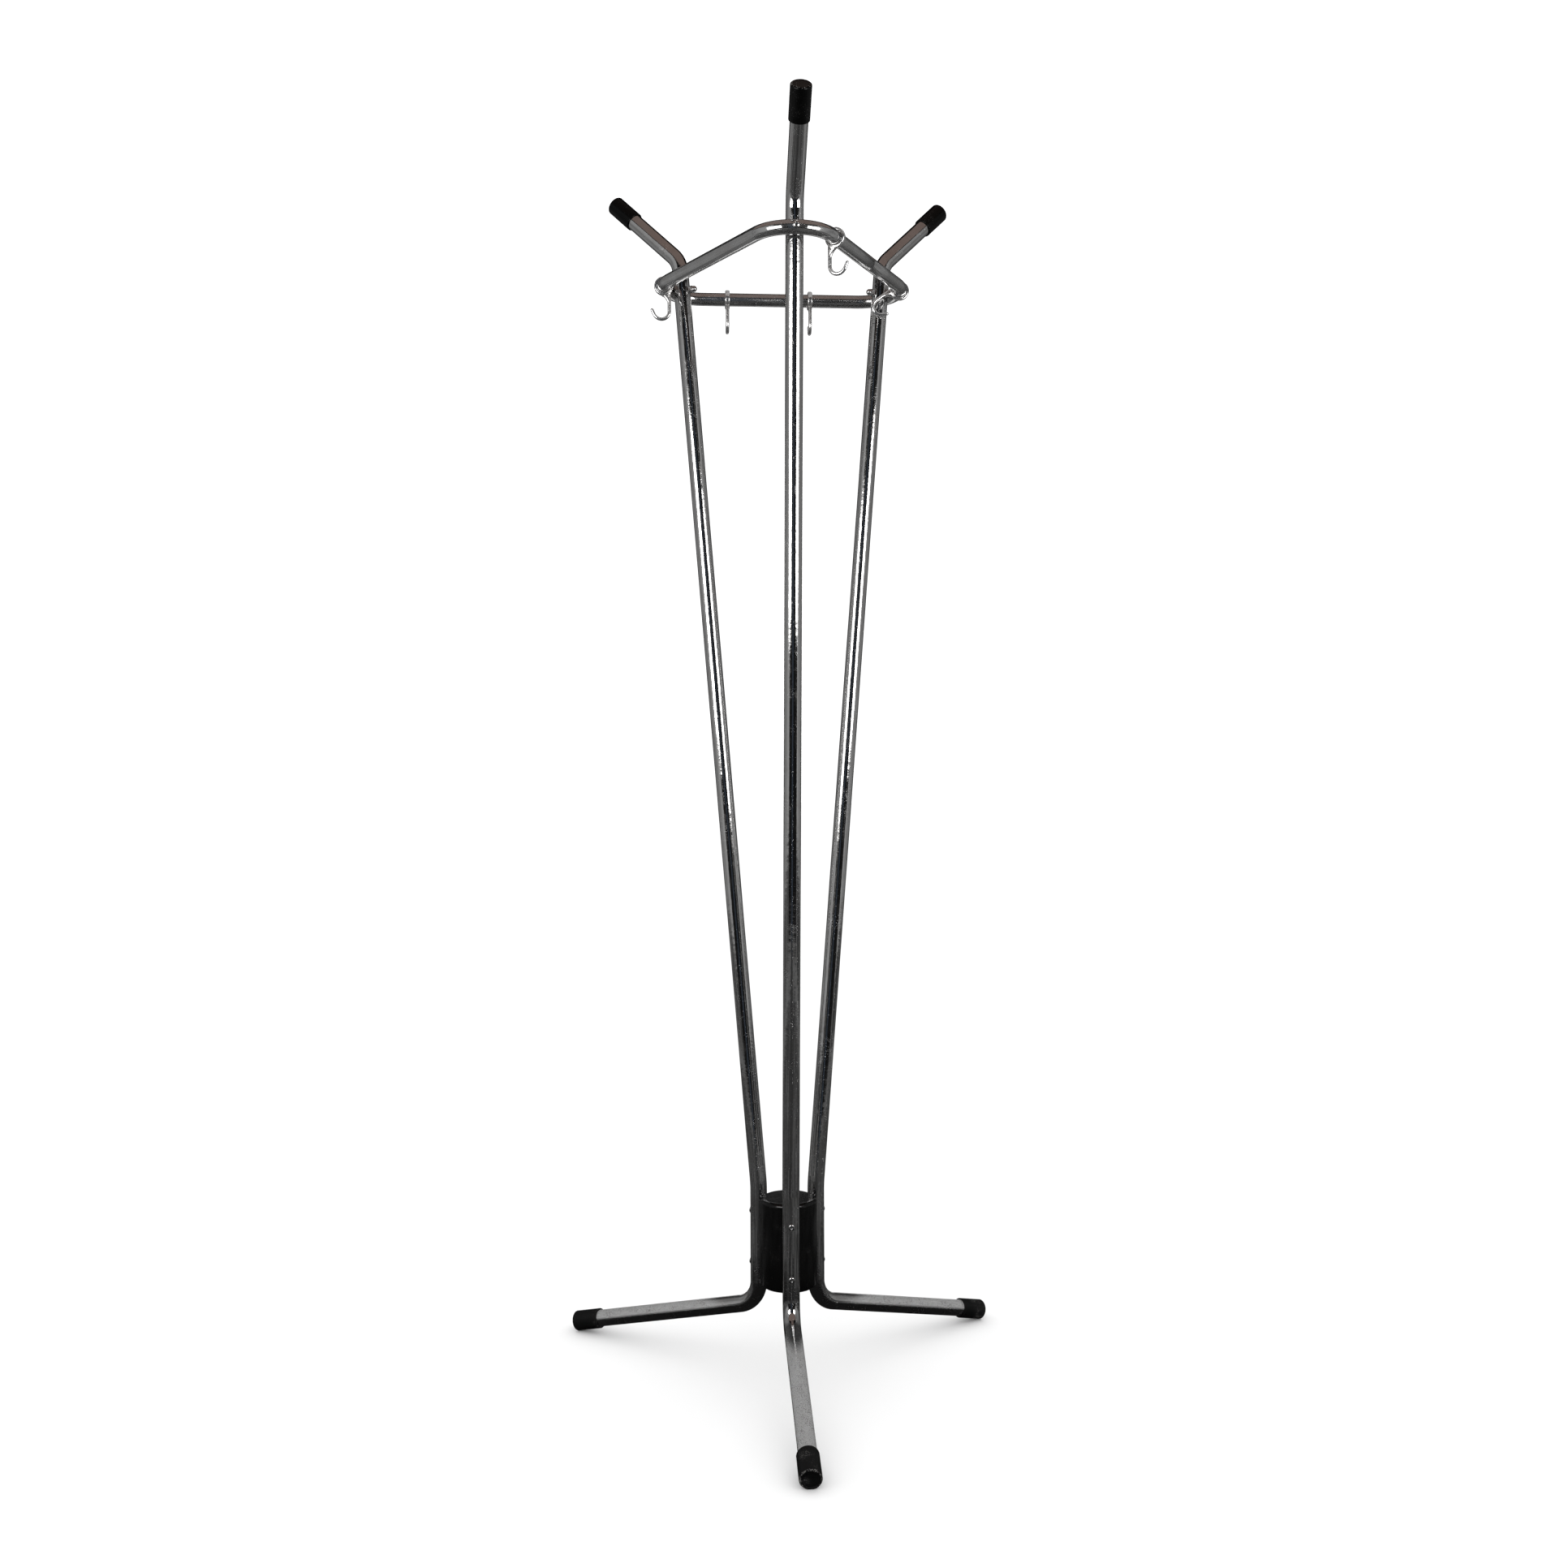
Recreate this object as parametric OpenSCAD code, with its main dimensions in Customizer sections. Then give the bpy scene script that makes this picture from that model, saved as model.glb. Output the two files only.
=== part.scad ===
// Three-leg tubular coat stand with a rounded-triangle rail and swinging hooks.
// Millimetres, +Z up. The origin is on the hub's axis, on the floor. The front leg points along -Y.

/* [Tube stock] */
// Outside diameter of a leg tube
leg_diameter = 25; // [20:0.5:32]
// Wall of a leg tube
leg_wall = 1.5; // [1:0.1:3]
// Centre-line radius of the foot and arm bends
bend_radius = 40; // [34:1:60]
// Centre-line radius of the slight bend above the hub
lean_bend_radius = 200; // [120:10:400]
// Outside diameter of the rail tube
rail_diameter = 20; // [16:0.5:25]
// Wall of the rail tube
rail_wall = 1.5; // [1:0.1:3]

/* [Leg shape] */
// Distance from the hub's axis to an upright's centre line
upright_offset = 49.5; // [45:0.5:60]
// Slope of a foot below horizontal, in degrees
foot_slope = 13.9; // [5:0.1:25]
// Distance from the hub's axis to the tip of a foot cap
foot_reach = 373; // [300:1:450]
// Height where an upright starts to lean outward
lean_height = 268; // [262:1:300]
// Lean of a pole from vertical, in degrees
lean_angle = 5.35; // [2:0.05:9]
// Height where the pole and arm centre lines cross
arm_height = 1667; // [1400:1:1800]
// Slope of an arm above horizontal, in degrees
arm_slope = 42.4; // [20:0.1:70]
// Length from that crossing to the tip of the arm cap
arm_length = 156.5; // [100:0.5:250]

/* [Hub] */
// Hub diameter
hub_diameter = 85; // [70:1:110]
// Height of the hub's underside
hub_bottom = 126; // [125:1:140]
// Hub height
hub_height = 130; // [80:1:132]
// Rounding of the hub's rims
hub_rim = 7; // [1:0.5:8]
// Distance between the two screws of a leg
screw_spacing = 76; // [40:1:100]
// Thread diameter of a hub screw
screw_thread = 4; // [3:0.5:6]
// Length of a hub screw under its head
screw_length = 40; // [34:1:44]
// Head diameter of a hub screw
screw_head = 9; // [6:0.1:10]
// Head height of a hub screw
screw_head_height = 2.2; // [1.5:0.1:3]
// Width of the hex socket in a hub screw
screw_socket = 2.5; // [2:0.5:3]
// Outside diameter of a threaded insert
insert_diameter = 6; // [5:0.5:8]
// Length of a threaded insert
insert_length = 10; // [6:0.5:12]

/* [Rail] */
// Height of the rail's centre line
rail_height = 1622; // [1400:1:1640]
// Centre-line radius of the rail's corners
rail_corner = 60; // [50:1:80]
// Distance of the butt seam from the middle of the right run
seam_offset = 10; // [-60:1:60]
// Width of the butt seam
seam_gap = 0.2; // [0.1:0.05:0.5]
// Length of the sleeve inside the seam
sleeve_length = 40; // [20:1:80]
// Thread diameter of a rail bolt
bolt_thread = 6; // [4:0.5:8]
// Head diameter of a rail bolt
bolt_head = 10; // [8:0.1:12]
// Head height of a rail bolt
bolt_head_height = 3.4; // [2:0.1:5]
// Width of the hex socket in a rail bolt
bolt_socket = 4; // [2:0.5:5]
// Width across the flats of an acorn nut
nut_flats = 10; // [8:0.5:13]
// Height of an acorn nut
nut_height = 12.5; // [9:0.5:16]

/* [Caps] */
// Outside diameter of an arm cap
arm_cap_diameter = 29; // [28:0.5:34]
// Length of an arm cap
arm_cap_length = 48; // [25:1:70]
// Outside diameter of a foot cap
foot_cap_diameter = 30; // [28:0.5:36]
// Length of a foot cap
foot_cap_length = 45; // [25:1:70]
// Thickness of the closed end of a cap
cap_end = 3; // [2:0.5:5]
// Rounding of an arm cap's closed end
arm_cap_rim = 2.5; // [1:0.1:5]
// Rounding of a foot cap's closed end, and of every cap's mouth
cap_rim = 1.2; // [0.6:0.1:1.4]
// Depth of the flat worn on the underside of a foot cap
foot_flat = 1.2; // [0.6:0.1:2]

/* [Hooks] */
// Outside diameter of a hook's eye
eye_diameter = 29; // [27:0.5:34]
// Radial play of the eye on the rail
eye_play = 0.5; // [0.4:0.05:1.5]
// Length of the eye along the rail
eye_length = 7; // [5:0.5:10]
// Rounding of the eye's rims
eye_rim = 1.4; // [0.5:0.1:2]
// Width of the web where it meets the eye, beyond the wire
web_flare = 12.8; // [6:0.1:14]
// Depth below the rail's centre where the web leaves the eye
web_start = 12.4; // [11.5:0.1:13]
// Depth below the rail's centre where the web has run into the wire
web_end = 27; // [22:0.5:30]
// Diameter of the hook's wire
hook_wire = 5.5; // [4:0.1:7]
// Inside-out radius of the J, to the wire's centre
hook_radius = 12; // [9:0.5:18]
// Drop from the rail's centre to the centre of the J
hook_drop = 38; // [34:0.5:60]
// Offset of the J's centre from below the rail, outward
hook_offset = 3.7; // [2:0.1:5]
// Turn of the J, in degrees
hook_turn = 155; // [120:1:170]
// Straight length of the hook's lip
hook_lip = 7.5; // [2:0.5:15]
// Position of the right run's hook, from the middle of the run
right_run_hook = -109; // [-116:1:100]
// Distance of the back left hook from the middle of the back run
back_left_hook = 82; // [30:1:110]
// Distance of the back right hook from the middle of the back run
back_right_hook = 47; // [30:1:110]
// Angle of the left corner's hook round its bend, from the bolt
left_corner_hook = 32; // [28:1:58]
// Angle of the right corner's hook round its bend, from the bolt
right_corner_hook = 30; // [28:1:58]
// How far the right corner's hook is swung inward
right_corner_swing = 55; // [0:1:90]

/* [Hidden] */
$fn = 96;
// Directions of the legs and of two of the rail's runs, in degrees from +X
front = -90;
right = 30;
left = 150;
back_run = 90;
right_run = -30;
// Radial gap of a snug fit, and the gap between pieces that are clamped together
fit = 0.05;
touch = 0.1;
// Extra diameter of a hole that a screw or bolt passes through
hole_clearance = 0.4;
// Depth of an insert below the floor of its groove
insert_inset = 0.5;
// Shares of a screw head's height: its straight edge, and its socket's floor
head_edge = 0.15;
socket_floor = 0.4;
// How far the bends and runs of a tube reach into each other, and how much thinner a bend is
join = 0.02;
bend_thinning = 0.05;
// Overrun of a shape that is cut away
cut = 1;
// Angle up to which a rounded rim is drawn, and its steps
rim_angle = 67.5;
rim_steps = 3;

leg_r = leg_diameter / 2;
rail_r = rail_diameter / 2;
hub_r = hub_diameter / 2;
hub_top = hub_bottom + hub_height;
hub_middle = hub_bottom + hub_height / 2;
foot_cap_r = foot_cap_diameter / 2;

foot_turn = 90 - foot_slope;
arm_turn = 90 - arm_slope - lean_angle;
foot_tangent = bend_radius * tan(foot_turn / 2);
lean_tangent = lean_bend_radius * tan(lean_angle / 2);
arm_tangent = bend_radius * tan(arm_turn / 2);
foot_tip_height = foot_cap_r * cos(foot_slope) - foot_flat;
foot_bend_height = foot_tip_height + (foot_reach - upright_offset) * tan(foot_slope);
foot_run = (foot_reach - upright_offset) / cos(foot_slope) - cap_end - foot_tangent;
upright_run = lean_height - foot_bend_height - foot_tangent - lean_tangent;
pole_run = (arm_height - lean_height) / cos(lean_angle) - lean_tangent - arm_tangent;
arm_run = arm_length - cap_end - arm_tangent;

pole_at_rail = upright_offset + (rail_height - lean_height) * tan(lean_angle);
rail_apex = pole_at_rail + (leg_r + rail_r + touch) / cos(lean_angle);
rail_distance = (rail_apex + rail_corner) / 2;
corner_center = rail_apex - rail_corner;
half_run = corner_center * sin(60);
nut_seat = pole_at_rail - (leg_r + touch) / cos(lean_angle) - nut_flats / 2 * tan(lean_angle);
bolt_seat = rail_apex + rail_r + touch / 2;
bolt_tip = nut_seat - nut_height * 0.6;
nut_hole_end = nut_seat - nut_height * 0.7;

screw_seat = upright_offset + leg_r + touch / 2;
screw_tip = screw_seat - screw_length;
groove_floor = upright_offset - leg_r - fit;
insert_start = groove_floor - insert_length - insert_inset;
shank_offset = hook_offset - hook_radius;
web_buried = rail_r * 0.6;

// Points of an arc in equal steps: center, radius, first and last angle.
function arc(center, radius, from, to, steps) =
    [for (i = [0:steps]) let (a = from + (to - from) * i / steps)
        center + radius * [cos(a), sin(a)]];

// Points of a turned piece's rounded rims: one at its lower edge, and one at its upper edge.
function lower_rim(r, z, rim) = arc([r - rim, z + rim], rim, -rim_angle, 0, rim_steps);
function upper_rim(r, z, rim) = arc([r - rim, z - rim], rim, 0, rim_angle, rim_steps);

// Outline of a turned piece from z = from to z = to, with both of its rims rounded.
function turned_outline(r, from, to, lower, upper) = concat(
    [[0, from], [r - lower, from]], lower_rim(r, from, lower),
    upper_rim(r, to, upper), [[r - upper, to], [0, to]]);

// --- Bent tube ---------------------------------------------------------------

// An arc of rod that starts along +Z and turns toward +X. It is a hair thinner than a straight run.
module bend(rod_r, radius, turn) {
    translate([radius, 0, 0])
        rotate([90, 0, 0])
            rotate([0, 0, 180 - turn])
                rotate_extrude(angle = turn)
                    translate([radius, 0])
                        rotate(90)
                            circle(r = rod_r - bend_thinning);
}

// Moves what follows to the end of such an arc.
module after_bend(radius, turn) {
    translate([radius, 0, 0])
        rotate([0, turn, 0])
            translate([-radius, 0, 0])
                children();
}

// A straight run of rod along +Z. It reaches a hair into what it joins at either end.
// Its seam is turned to the side, clear of the holes.
module run(rod_r, length) {
    translate([0, 0, -join])
        rotate([0, 0, 90])
            cylinder(r = rod_r, h = length + 2 * join);
}

// The arm, from the end of the pole outward.
module arm_path(rod_r, overrun) {
    bend(rod_r, bend_radius, arm_turn);
    after_bend(bend_radius, arm_turn)
        run(rod_r, arm_run + overrun - join);
}

// The leaning pole and the arm.
module pole_path(rod_r, overrun) {
    bend(rod_r, lean_bend_radius, lean_angle);
    after_bend(lean_bend_radius, lean_angle) {
        run(rod_r, pole_run);
        translate([0, 0, pole_run])
            arm_path(rod_r, overrun);
    }
}

// The upright, the pole and the arm.
module upright_path(rod_r, overrun) {
    bend(rod_r, bend_radius, foot_turn);
    after_bend(bend_radius, foot_turn) {
        run(rod_r, upright_run);
        translate([0, 0, upright_run])
            pole_path(rod_r, overrun);
    }
}

// The whole length of a leg as a rod, from the foot's end to the arm's end.
module leg_path(rod_r, overrun = 0) {
    at_foot_tip(cap_end) {
        translate([0, 0, join - overrun])
            run(rod_r, foot_run + overrun - join);
        translate([0, 0, foot_run])
            upright_path(rod_r, overrun);
    }
}

// Frame at the tip of a foot, +Z running up the foot toward the hub.
module at_foot_tip(inset = 0) {
    translate([foot_reach, 0, foot_tip_height])
        rotate([0, -foot_turn, 0])
            translate([0, 0, inset])
                children();
}

// Frame at the tip of an arm, +Z running down the arm toward the pole.
module at_arm_tip() {
    translate([upright_offset + (arm_height - lean_height) * tan(lean_angle), 0, arm_height])
        rotate([0, 90 - arm_slope, 0])
            translate([0, 0, arm_length])
                rotate([180, 0, 0])
                    children();
}

// --- Frames for repeated pieces -----------------------------------------------

// Turns a piece drawn along +X to a leg's direction.
module toward(direction) {
    rotate([0, 0, direction])
        children();
}

// The two screw places of a leg. +Z points outward, the origin is on the hub's axis.
module at_screws() {
    for (side = [-1, 1])
        translate([0, 0, hub_middle + side * screw_spacing / 2])
            rotate([0, 90, 0])
                children();
}

// The bolt's line through rail and pole. +Z points outward, the origin is on the hub's axis.
module at_bolt() {
    translate([0, 0, rail_height])
        rotate([0, 90, 0])
            children();
}

// --- Legs and hub --------------------------------------------------------------

module leg(direction) {
    color("silver")
        toward(direction)
            difference() {
                leg_path(leg_r);
                leg_path(leg_r - leg_wall, cut);
                at_screws()
                    translate([0, 0, upright_offset - leg_diameter])
                        cylinder(d = screw_thread + hole_clearance, h = 2 * leg_diameter);
                at_bolt()
                    translate([0, 0, pole_at_rail - leg_diameter])
                        cylinder(d = bolt_thread + hole_clearance, h = 2 * leg_diameter);
            }
}

module hub_body() {
    color([0.04, 0.04, 0.04])
        difference() {
            rotate_extrude()
                polygon(turned_outline(hub_r, hub_bottom, hub_top, hub_rim, hub_rim));
            for (direction = [front, left, right])
                toward(direction) {
                    translate([upright_offset, 0, hub_bottom - cut])
                        cylinder(r = leg_r + fit, h = hub_height + 2 * cut);
                    at_screws()
                        translate([0, 0, screw_tip - cut])
                            cylinder(d = insert_diameter + 2 * fit, h = upright_offset - screw_tip);
                }
        }
}

// A button head with a hex socket: width, height and socket width. It stands on z = 0.
module domed_head(width, height, socket) {
    edge = height * head_edge;
    dome = [for (a = [0:18:72]) [width / 2 * cos(a), edge + (height - edge) * sin(a)]];
    difference() {
        rotate_extrude()
            polygon(concat([[0, 0], [width / 2, 0]], dome, [[0, height]]));
        translate([0, 0, height * socket_floor])
            cylinder(d = socket / cos(30), h = height, $fn = 6);
    }
}

module hub_screws(direction) {
    color("silver")
        toward(direction)
            at_screws()
                translate([0, 0, screw_seat]) {
                    domed_head(screw_head, screw_head_height, screw_socket);
                    translate([0, 0, -screw_length])
                        cylinder(d = screw_thread, h = screw_length);
                }
}

module hub_inserts(direction) {
    color("goldenrod")
        toward(direction)
            at_screws()
                translate([0, 0, insert_start])
                    difference() {
                        cylinder(d = insert_diameter, h = insert_length);
                        translate([0, 0, -cut])
                            cylinder(d = screw_thread + 2 * fit, h = insert_length + 2 * cut);
                    }
}

// --- Rail ------------------------------------------------------------------------

// Frame on a straight run: +X out of the ring, +Y along the run, the origin at its middle.
module on_run(direction, along) {
    rotate([0, 0, direction])
        translate([rail_distance, along, rail_height])
            children();
}

// Frame on a corner's bend, an angle away from its bolt: +X out of the bend.
module on_corner(direction, angle) {
    rotate([0, 0, direction])
        translate([corner_center, 0, rail_height])
            rotate([0, 0, angle])
                translate([rail_corner, 0, 0])
                    children();
}

// A corner of the rail and the straight run after it.
module rail_side(rod_r, length) {
    bend(rod_r, rail_corner, 120);
    after_bend(rail_corner, 120) {
        run(rod_r, length);
        translate([0, 0, length])
            children();
    }
}

// The rail as a rod, from one side of the seam round to the other.
module rail_path(rod_r, overrun = 0) {
    first_run = half_run - seam_offset - seam_gap / 2;
    last_run = half_run + seam_offset - seam_gap / 2;
    on_run(right_run, seam_offset + seam_gap / 2)
        rotate([90, 0, 180]) {
            translate([0, 0, join - overrun])
                run(rod_r, first_run + overrun - join);
            translate([0, 0, first_run])
                rail_side(rod_r, 2 * half_run)
                    rail_side(rod_r, 2 * half_run)
                        rail_side(rod_r, last_run + overrun - join);
        }
}

module hanger_ring() {
    color("silver")
        difference() {
            rail_path(rail_r);
            rail_path(rail_r - rail_wall, seam_gap / 4);
            for (direction = [front, left, right])
                toward(direction)
                    at_bolt()
                        translate([0, 0, rail_apex - rail_diameter])
                            cylinder(d = bolt_thread + hole_clearance, h = 2 * rail_diameter);
        }
}

module ring_sleeve() {
    color("silver")
        on_run(right_run, seam_offset - sleeve_length / 2)
            rotate([-90, 0, 0])
                difference() {
                    cylinder(r = rail_r - rail_wall - fit, h = sleeve_length);
                    translate([0, 0, -cut])
                        cylinder(r = rail_r - 2 * rail_wall - fit, h = sleeve_length + 2 * cut);
                }
}

module ring_bolt(direction) {
    color("silver")
        toward(direction)
            at_bolt() {
                translate([0, 0, bolt_seat])
                    domed_head(bolt_head, bolt_head_height, bolt_socket);
                translate([0, 0, bolt_tip])
                    cylinder(d = bolt_thread, h = bolt_seat - bolt_tip);
            }
}

// An acorn nut on its seat at z = 0, its dome toward -Z.
module acorn_nut() {
    dome_r = nut_flats * 0.47;
    hex_height = nut_height * 0.45;
    difference() {
        union() {
            translate([0, 0, -hex_height])
                cylinder(d = nut_flats / cos(30), h = hex_height, $fn = 6);
            rotate([180, 0, 0])
                rotate_extrude()
                    polygon(concat([[0, hex_height], [dome_r, hex_height]],
                        arc([0, nut_height - dome_r], dome_r, 0, 75, 6), [[0, nut_height]]));
        }
        translate([0, 0, nut_hole_end - nut_seat])
            cylinder(d = bolt_thread + 2 * fit, h = nut_height);
    }
}

module ring_nut(direction) {
    color("silver")
        toward(direction)
            at_bolt()
                translate([0, 0, nut_seat])
                    acorn_nut();
}

// --- Caps ---------------------------------------------------------------------------

// A cap with its closed end at z = 0.
module cap(diameter, length, end_rim) {
    difference() {
        rotate_extrude()
            polygon(turned_outline(diameter / 2, 0, length, end_rim, cap_rim));
        translate([0, 0, cap_end - fit])
            cylinder(r = leg_r + fit, h = length);
    }
}

module arm_cap(direction) {
    color([0.05, 0.05, 0.05])
        toward(direction)
            at_arm_tip()
                cap(arm_cap_diameter, arm_cap_length, arm_cap_rim);
}

module foot_cap(direction) {
    color([0.05, 0.05, 0.05])
        difference() {
            toward(direction)
                at_foot_tip()
                    cap(foot_cap_diameter, foot_cap_length, cap_rim);
            translate([-2 * foot_reach, -2 * foot_reach, -foot_cap_diameter])
                cube([4 * foot_reach, 4 * foot_reach, foot_cap_diameter]);
        }
}

// --- Hooks ---------------------------------------------------------------------------

// A band round the rail, solid until the rail's way is cut. Its axis is +Z.
module hook_eye() {
    rotate_extrude()
        polygon(turned_outline(eye_diameter / 2, -eye_length / 2, eye_length / 2, eye_rim, eye_rim));
}

// The flared web that runs from under the eye into the shank. Its faces lie just inside the wire's.
module hook_web() {
    thickness = hook_wire * 0.8;
    inner = shank_offset - thickness / 2;
    outer = shank_offset + thickness / 2;
    flare = [for (s = [0:0.25:1])
        [outer + web_flare * pow(1 - s, 2), -web_start - (web_end - web_start) * s]];
    rotate([90, 0, 0])
        translate([0, 0, -thickness / 2])
            linear_extrude(thickness)
                polygon(concat([[inner, -web_buried], [inner, -web_end],
                    [shank_offset, -web_end - hook_wire]], [for (i = [4:-1:0]) flare[i]],
                    [[outer + web_flare * 0.8, -web_buried]]));
}

// The straight lip and its blunt tip, in one turned piece.
module hook_lip_end(wire_r) {
    rotate_extrude()
        polygon(concat([[0, -join], [wire_r, -join]], upper_rim(wire_r, hook_lip + wire_r, wire_r),
            [[0, hook_lip + wire_r]]));
}

// Shank, J and lip as one bent wire. The shank starts inside the web.
module hook_wire_path() {
    wire_r = hook_wire / 2;
    translate([shank_offset, 0, -web_start])
        rotate([180, 0, 0]) {
            run(wire_r, hook_drop - web_start);
            translate([0, 0, hook_drop - web_start]) {
                bend(wire_r, hook_radius, hook_turn);
                after_bend(hook_radius, hook_turn)
                    hook_lip_end(wire_r);
            }
        }
}

// A hook that hangs on a rail along Y, its mouth toward +X, swung inward by an angle.
module hook(swing = 0) {
    color("silver")
        rotate([0, swing, 0])
            difference() {
                union() {
                    rotate([90, 0, 0])
                        hook_eye();
                    hook_web();
                    hook_wire_path();
                }
                rotate([90, 0, 0])
                    translate([0, 0, -eye_length])
                        cylinder(r = rail_r + eye_play, h = 2 * eye_length);
            }
}

module hook_right_run() { on_run(right_run, right_run_hook) hook(); }
module hook_right_corner() { on_corner(right, -right_corner_hook) hook(right_corner_swing); }
module hook_back_right() { on_run(back_run, -back_right_hook) hook(); }
module hook_back_left() { on_run(back_run, back_left_hook) hook(); }
module hook_left_corner() { on_corner(left, left_corner_hook) hook(); }

// --- Nodes ------------------------------------------------------------------------------

leg(front);  // leg_front
leg(left);  // leg_left
leg(right);  // leg_right
hub_body();
hub_screws(front);  // hub_screws_front
hub_screws(left);  // hub_screws_left
hub_screws(right);  // hub_screws_right
hub_inserts(front);  // hub_inserts_front
hub_inserts(left);  // hub_inserts_left
hub_inserts(right);  // hub_inserts_right
hanger_ring();
ring_sleeve();
ring_bolt(front);  // ring_bolt_front
ring_bolt(left);  // ring_bolt_left
ring_bolt(right);  // ring_bolt_right
ring_nut(front);  // ring_nut_front
ring_nut(left);  // ring_nut_left
ring_nut(right);  // ring_nut_right
arm_cap(front);  // arm_cap_front
arm_cap(left);  // arm_cap_left
arm_cap(right);  // arm_cap_right
foot_cap(front);  // foot_cap_front
foot_cap(left);  // foot_cap_left
foot_cap(right);  // foot_cap_right
hook_right_run();
hook_right_corner();
hook_back_right();
hook_back_left();
hook_left_corner();
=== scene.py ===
"""The looks of a three-leg tubular coat stand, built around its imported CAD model.

Metres, +Z up, in the CAD model's frame: the origin is on the hub's axis, on the floor, and the front leg
points along -Y. Sizes below are in millimetres, as in the CAD model, and are scaled by MM.
"""

import math

import bmesh
import bpy
from mathutils import Matrix, Vector


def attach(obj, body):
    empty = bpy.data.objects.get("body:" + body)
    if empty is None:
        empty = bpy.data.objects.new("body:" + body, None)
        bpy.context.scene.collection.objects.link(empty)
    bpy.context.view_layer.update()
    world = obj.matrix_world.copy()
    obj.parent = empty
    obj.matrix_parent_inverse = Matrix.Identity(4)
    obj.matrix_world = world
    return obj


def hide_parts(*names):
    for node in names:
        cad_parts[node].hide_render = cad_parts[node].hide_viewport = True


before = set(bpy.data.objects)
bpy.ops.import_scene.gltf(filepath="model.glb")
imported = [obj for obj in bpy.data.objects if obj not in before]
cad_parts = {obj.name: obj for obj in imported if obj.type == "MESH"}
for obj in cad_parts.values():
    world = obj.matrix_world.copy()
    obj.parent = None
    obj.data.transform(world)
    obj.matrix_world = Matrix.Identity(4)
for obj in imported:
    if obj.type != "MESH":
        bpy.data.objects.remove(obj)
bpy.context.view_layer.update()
MM = 0.001

# --- Sizes in millimetres, as in the CAD model ----------------------------------------------------

LEG_DIRECTIONS = {"front": -90, "left": 150, "right": 30}
LEG_R, LEG_WALL, BEND_R, LEAN_BEND_R = 12.5, 1.5, 40, 200
UPRIGHT_OFFSET, LEAN_HEIGHT, ARM_HEIGHT = 49.5, 268, 1667
FOOT_SLOPE, LEAN_ANGLE, ARM_SLOPE = 13.9, 5.35, 42.4
FOOT_REACH, ARM_LENGTH, CAP_END = 373, 156.5, 3
FOOT_FLAT, FOOT_CAP_R, FOOT_CAP_LENGTH = 1.2, 15, 45
ARM_CAP_R, ARM_CAP_LENGTH = 14.5, 48
HUB_R, HUB_BOTTOM, HUB_HEIGHT, HUB_RIM = 42.5, 126, 130, 7
SCREW_R, SCREW_HEAD_R, SCREW_HEAD, SCREW_SOCKET, SCREW_LENGTH, SCREW_SPACING = 2, 4.5, 2.2, 2.5, 40, 76
RAIL_R, RAIL_WALL, RAIL_CORNER, RAIL_HEIGHT = 10, 1.5, 60, 1622
SEAM_OFFSET, SEAM_GAP, SEAM_CHAMFER = 10, 0.2, 0.4
BOLT_R, BOLT_HEAD_R, BOLT_HEAD, BOLT_SOCKET = 3, 5, 3.4, 4
NUT_FLATS, NUT_HEIGHT = 10, 12.5
EYE_R, EYE_BORE, EYE_LENGTH, EYE_RIM = 14.5, 10.5, 7, 1.6
WIRE_R, HOOK_R, HOOK_DROP, HOOK_OFFSET, HOOK_TURN, HOOK_LIP = 2.75, 12, 38, 3.7, 155, 7.5
WEB_START, WEB_END, WEB_FLARE, WIRE_TAPER = 10.8, 27, 12.8, 0.12

# Play in a bore or groove, and the gap between tubes that are bolted together.
FIT, TOUCH = 0.05, 0.1

GROOVE_R = LEG_R + FIT
HUB_TOP = HUB_BOTTOM + HUB_HEIGHT
HUB_MIDDLE = HUB_BOTTOM + HUB_HEIGHT / 2
SCREW_HEIGHTS = (HUB_MIDDLE - SCREW_SPACING / 2, HUB_MIDDLE + SCREW_SPACING / 2)
SCREW_SEAT = UPRIGHT_OFFSET + LEG_R + TOUCH / 2
FOOT_TIP_HEIGHT = FOOT_CAP_R * math.cos(math.radians(FOOT_SLOPE)) - FOOT_FLAT
LEAN = math.tan(math.radians(LEAN_ANGLE))
POLE_AT_RAIL = UPRIGHT_OFFSET + (RAIL_HEIGHT - LEAN_HEIGHT) * LEAN
RAIL_APEX = POLE_AT_RAIL + (LEG_R + RAIL_R + TOUCH) / math.cos(math.radians(LEAN_ANGLE))
RAIL_DISTANCE = (RAIL_APEX + RAIL_CORNER) / 2
CORNER_CENTRE = RAIL_APEX - RAIL_CORNER
HALF_RUN = CORNER_CENTRE * math.sin(math.radians(60))
BOLT_SEAT = RAIL_APEX + RAIL_R + TOUCH / 2
NUT_SEAT = POLE_AT_RAIL - (LEG_R + TOUCH) / math.cos(math.radians(LEAN_ANGLE)) - NUT_FLATS / 2 * LEAN

# Each hook's frame on the rail: the run's or corner's direction, how far along or round it, and its swing.
RUN_HOOKS = {"hook_right_run": (-30, -109), "hook_back_right": (90, -47), "hook_back_left": (90, 82)}
CORNER_HOOKS = {"hook_right_corner": (30, -30, 55), "hook_left_corner": (150, 32, 0)}

# Sides of round sections, and the radius to which a turned screw closes at its axis.
SIDES, WIRE_SIDES, EYE_SIDES, HEAD_SIDES = 64, 40, 96, 48
PIN = 0.02

# Studio: the camera's turn from the front in degrees, and the mirrored room in metres.
CAMERA_AZIMUTH = 3.96
ROOM_R, ROOM_HEIGHT = 2.2, 3.0

# Heights in metres between which the plate goes from worn, below, to sound.
WORN_BELOW, SOUND_ABOVE = 0.076, 0.09

# --- Mesh building --------------------------------------------------------------------------------


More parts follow.
